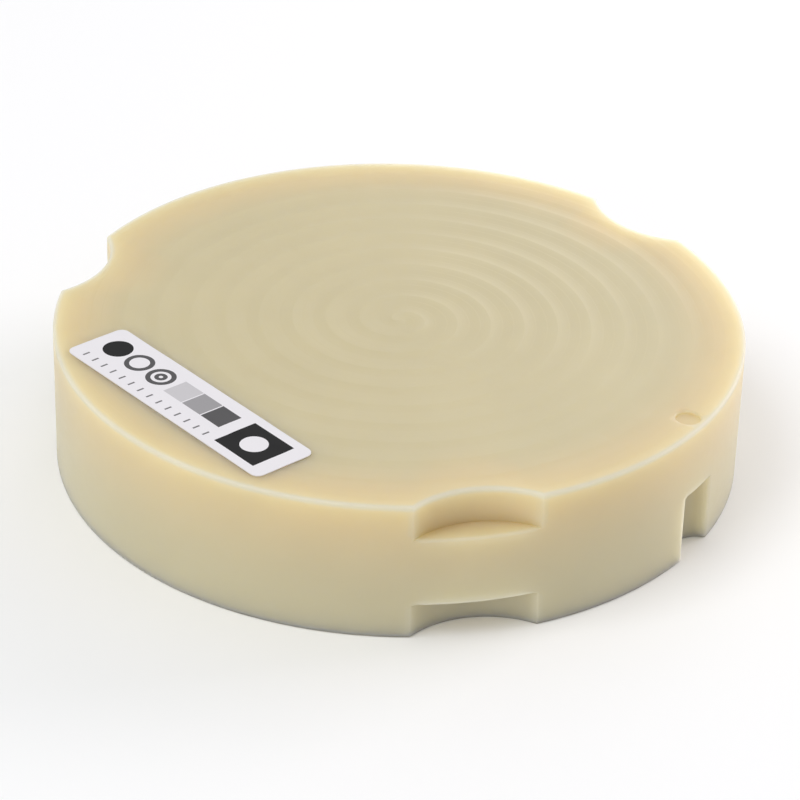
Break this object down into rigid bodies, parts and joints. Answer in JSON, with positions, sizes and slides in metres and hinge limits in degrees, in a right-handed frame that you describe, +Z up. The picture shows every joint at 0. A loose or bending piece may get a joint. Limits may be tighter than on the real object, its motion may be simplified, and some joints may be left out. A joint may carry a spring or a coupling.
{
  "type": "dental milling disc",
  "caption": "Round resin blank for a dental mill, with half-moon rim notches on both faces, an index groove, a shallow mark and a paper label.",
  "frame": {"origin": "centre of the lower face, which the disc lies on", "axes": "+Z up along the disc's axis, -Y towards the front notch"},
  "size_m": [0.095, 0.095, 0.0201],
  "materials": {
    "ivory_resin": "satin",
    "label_paper": "matte"
  },
  "bodies": {
    "root": {"milling_disc": "ivory_resin", "label": "label_paper"}
  },
  "joints": []
}
